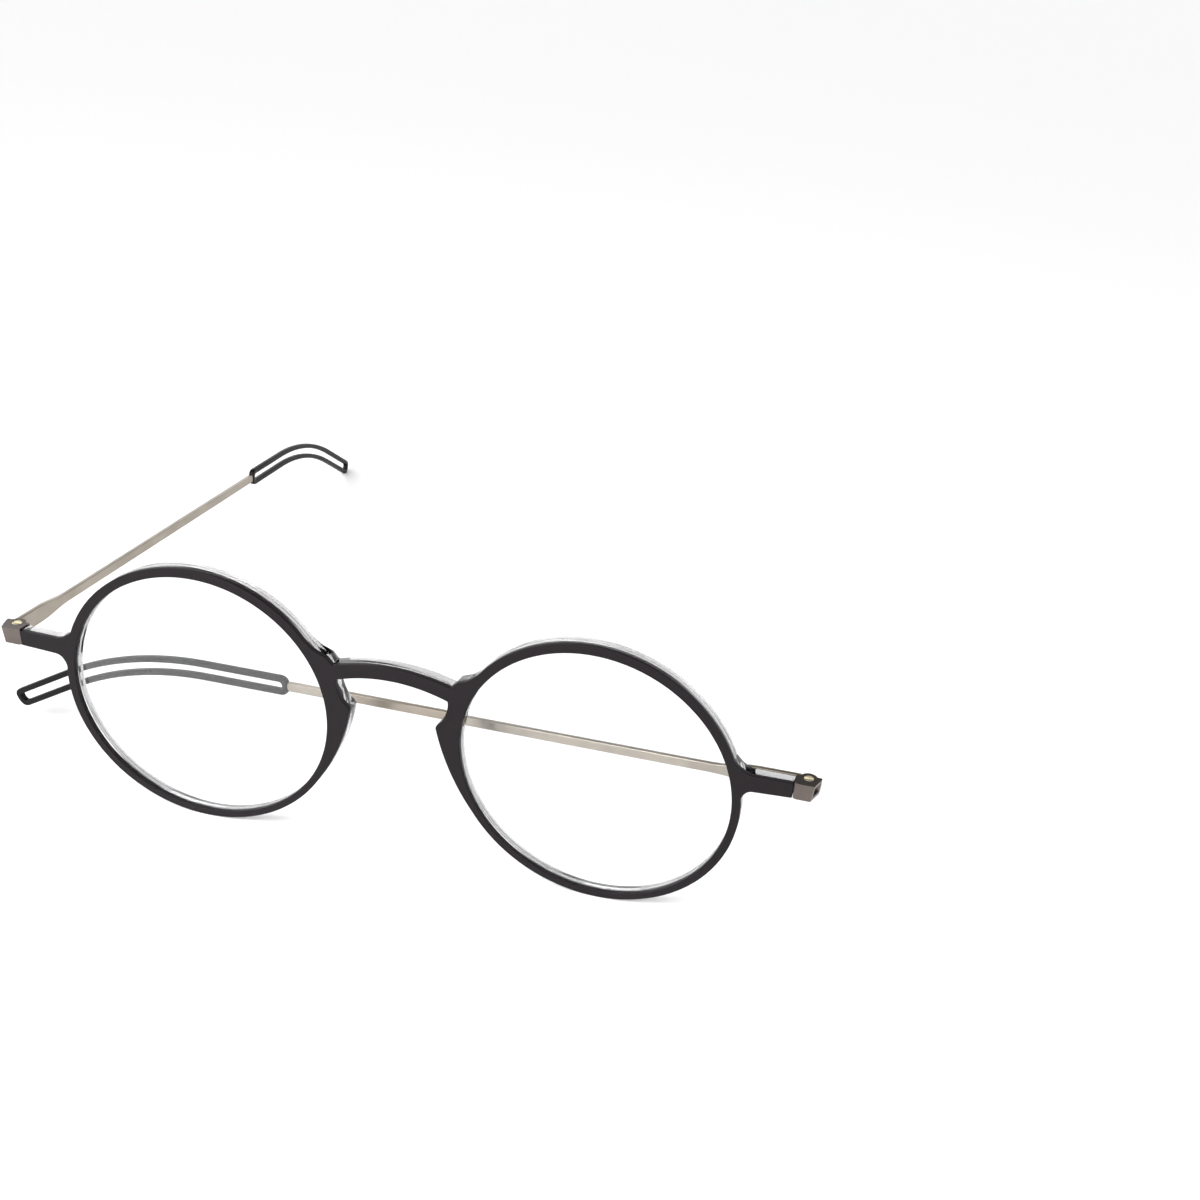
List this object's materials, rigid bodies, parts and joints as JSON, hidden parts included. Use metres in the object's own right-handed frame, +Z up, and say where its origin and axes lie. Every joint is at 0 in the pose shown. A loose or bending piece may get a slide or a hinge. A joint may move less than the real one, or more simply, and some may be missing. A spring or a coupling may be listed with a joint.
{
  "type": "folding reading glasses",
  "caption": "Slim folding reading glasses with round lenses, a dark front over a clear frame, flat metal temples and open-loop tips.",
  "frame": {"origin": "on the table plane, under the middle of the bounding box of the glasses as they stand with one temple open and one folded", "axes": "+Z up, +X along the front towards the viewer's right, +Y from the front towards the open temple's tip"},
  "size_m": [0.149, 0.148, 0.0457],
  "materials": {
    "dark_face": "matte",
    "clear_frame": "clear polished plastic",
    "lens": "clear polished plastic",
    "hinge_metal": "satin gunmetal",
    "tongue_metal": "dull",
    "screw_metal": "polished",
    "temple_metal": "satin",
    "tip_plastic": "satin"
  },
  "bodies": {
    "front": {"front_face": "dark_face", "back_frame": "clear_frame", "lens_left": "lens", "lens_right": "lens", "hinge_block_left": "hinge_metal", "hinge_block_right": "hinge_metal", "hinge_tongue_left": "tongue_metal", "hinge_tongue_right": "tongue_metal", "hinge_screw_left": "screw_metal", "hinge_screw_right": "screw_metal"},
    "temple_left_assembly": {"temple_knuckle_left": "hinge_metal", "temple_left": "temple_metal", "temple_tip_left": "tip_plastic"},
    "temple_right_assembly": {"temple_knuckle_right": "hinge_metal", "temple_right": "temple_metal", "temple_tip_right": "tip_plastic"}
  },
  "joints": [
    {"name": "left_temple_fold", "type": "hinge", "parent": "front", "child": "temple_left_assembly", "pos_m": [-0.05908, -0.07085, 0.02754], "axis": [0, -0.0243, -0.9997], "range_deg": [0, 86.3]},
    {"name": "right_temple_fold", "type": "hinge", "parent": "front", "child": "temple_right_assembly", "pos_m": [0.07247, -0.07085, 0.02754], "axis": [0, 0.0243, 0.9997], "range_deg": [-90.6, 3.7]}
  ]
}
